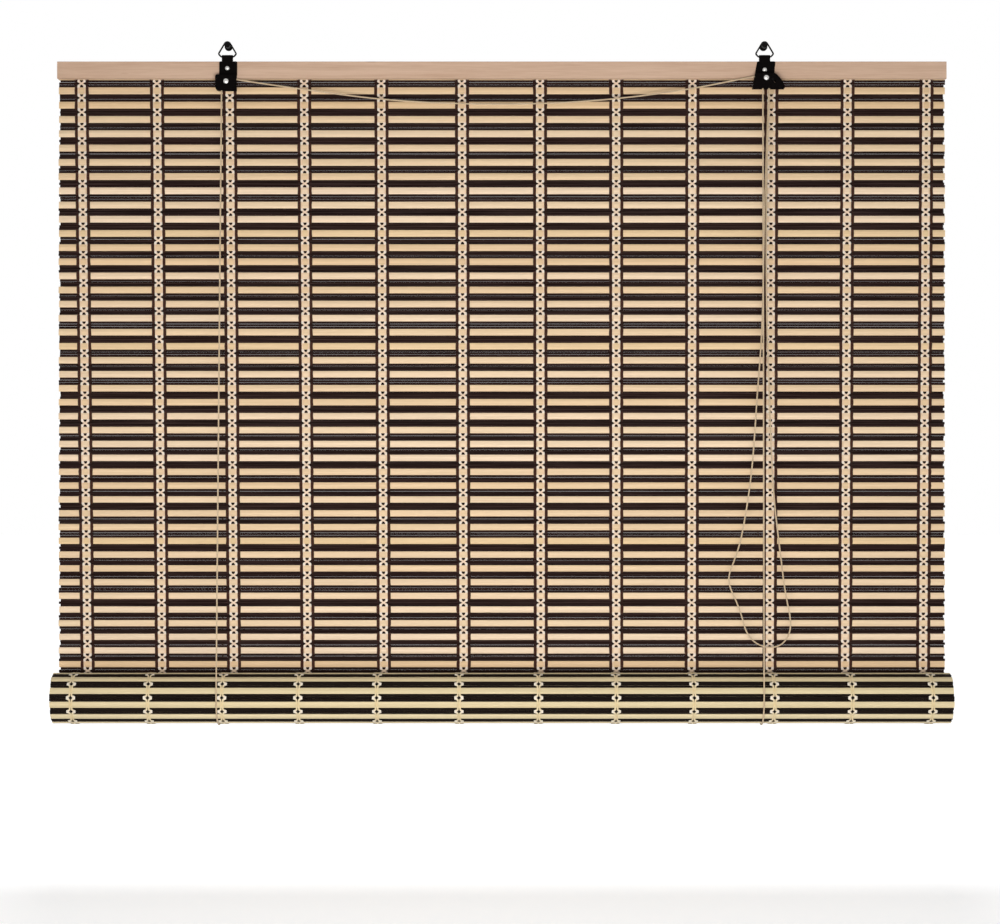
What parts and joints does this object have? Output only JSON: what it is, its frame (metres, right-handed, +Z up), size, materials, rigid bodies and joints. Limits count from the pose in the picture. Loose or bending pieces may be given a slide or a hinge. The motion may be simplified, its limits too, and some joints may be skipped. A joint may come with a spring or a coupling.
{
  "type": "bamboo roll up blind",
  "caption": "Roll-up blind of natural bamboo slats and dark sticks, half raised, with a wooden head rail, lift cords, a cord lock and a hanging pull cord.",
  "frame": {"origin": "in the wall's plane, midway between the two hook pegs", "axes": "+X along the head rail to the right as seen from the room, +Y into the wall, +Z up"},
  "size_m": [1.22, 0.0983, 0.9358],
  "materials": {
    "rail_wood": "planed",
    "bamboo": "natural",
    "pale_yarn": "twisted yarn",
    "dark_yarn": "twisted yarn",
    "cord": "braided",
    "black_paint": "satin black",
    "bright_steel": "zinc plated",
    "dark_steel": "dark",
    "wheel_plastic": "moulded"
  },
  "bodies": {
    "hangers": {"left_hook": "dark_steel", "right_hook": "dark_steel", "left_ring": "dark_steel", "right_ring": "dark_steel"},
    "blind": {"head_rail": "rail_wood", "hanging_mat": "bamboo", "mat_staples": "bright_steel", "left_bracket": "black_paint", "right_bracket": "black_paint", "left_axle": "bright_steel", "lock_axle": "bright_steel", "bracket_screws": "bright_steel", "cross_cord": "cord", "lock_cord_turn": "cord", "pull_cord": "cord", "left_lift_cord": "cord", "right_lift_cord": "cord", "left_rear_cord": "cord", "right_rear_cord": "cord", "rear_knots": "cord", "pale_warp_01": "pale_yarn", "pale_warp_02": "pale_yarn", "pale_warp_03": "pale_yarn", "pale_warp_04": "pale_yarn", "pale_warp_05": "pale_yarn", "pale_warp_06": "pale_yarn", "pale_warp_07": "pale_yarn", "pale_warp_08": "pale_yarn", "pale_warp_09": "pale_yarn", "pale_warp_10": "pale_yarn", "pale_warp_11": "pale_yarn", "pale_warp_12": "pale_yarn", "dark_warp_01": "dark_yarn", "dark_warp_02": "dark_yarn", "dark_warp_03": "dark_yarn", "dark_warp_04": "dark_yarn", "dark_warp_05": "dark_yarn", "dark_warp_06": "dark_yarn", "dark_warp_07": "dark_yarn", "dark_warp_08": "dark_yarn", "dark_warp_09": "dark_yarn", "dark_warp_10": "dark_yarn", "dark_warp_11": "dark_yarn", "dark_warp_12": "dark_yarn"},
    "slings": {"left_sling": "cord", "right_sling": "cord"},
    "roll": {"rolled_mat": "bamboo", "roll_warp_yarns": "pale_yarn", "bottom_rod": "rail_wood"},
    "left_pulley": {"left_pulley": "wheel_plastic"},
    "lock_wheel": {"lock_wheel": "wheel_plastic"},
    "lock_roller": {"lock_roller": "bright_steel"}
  },
  "joints": [
    {"name": "hang_swing", "type": "hinge", "parent": "hangers", "child": "blind", "pos_m": [0, -0.0159, -0.016], "axis": [-1, 0, 0], "range_deg": [0, 60]},
    {"name": "roll_lift", "type": "slide", "parent": "blind", "child": "slings", "axis": [0, 0, 1], "range_m": [0, 0.75], "deforming": ["hanging_mat", "pale_warp_01", "pale_warp_02", "pale_warp_03", "pale_warp_04", "pale_warp_05", "pale_warp_06", "pale_warp_07", "pale_warp_08", "pale_warp_09", "pale_warp_10", "pale_warp_11", "pale_warp_12", "dark_warp_01", "dark_warp_02", "dark_warp_03", "dark_warp_04", "dark_warp_05", "dark_warp_06", "dark_warp_07", "dark_warp_08", "dark_warp_09", "dark_warp_10", "dark_warp_11", "dark_warp_12", "left_lift_cord", "right_lift_cord", "left_rear_cord", "right_rear_cord", "pull_cord"]},
    {"name": "roll_turn", "type": "hinge", "parent": "slings", "child": "roll", "pos_m": [0, -0.0403, -0.89232], "axis": [-1, 0, 0], "range_deg": [0, 1080]},
    {"name": "left_pulley_spin", "type": "hinge", "parent": "blind", "child": "left_pulley", "pos_m": [-0.3695, -0.0212, -0.0507], "axis": [0, 1, 0], "range_deg": [0, 13434]},
    {"name": "lock_wheel_spin", "type": "hinge", "parent": "blind", "child": "lock_wheel", "pos_m": [0.3697, -0.0227, -0.0465], "axis": [0, 1, 0], "range_deg": [0, 19104]},
    {"name": "lock_roller_slide", "type": "slide", "parent": "blind", "child": "lock_roller", "axis": [0.6428, 0, -0.766], "range_m": [0, 0.005]}
  ],
  "couplings": [
    {"joint": "roll_turn", "follows": "roll_lift", "rad_per_m": 25.13},
    {"joint": "left_pulley_spin", "follows": "roll_lift", "rad_per_m": 312.5},
    {"joint": "lock_wheel_spin", "follows": "roll_lift", "rad_per_m": 444.44}
  ]
}
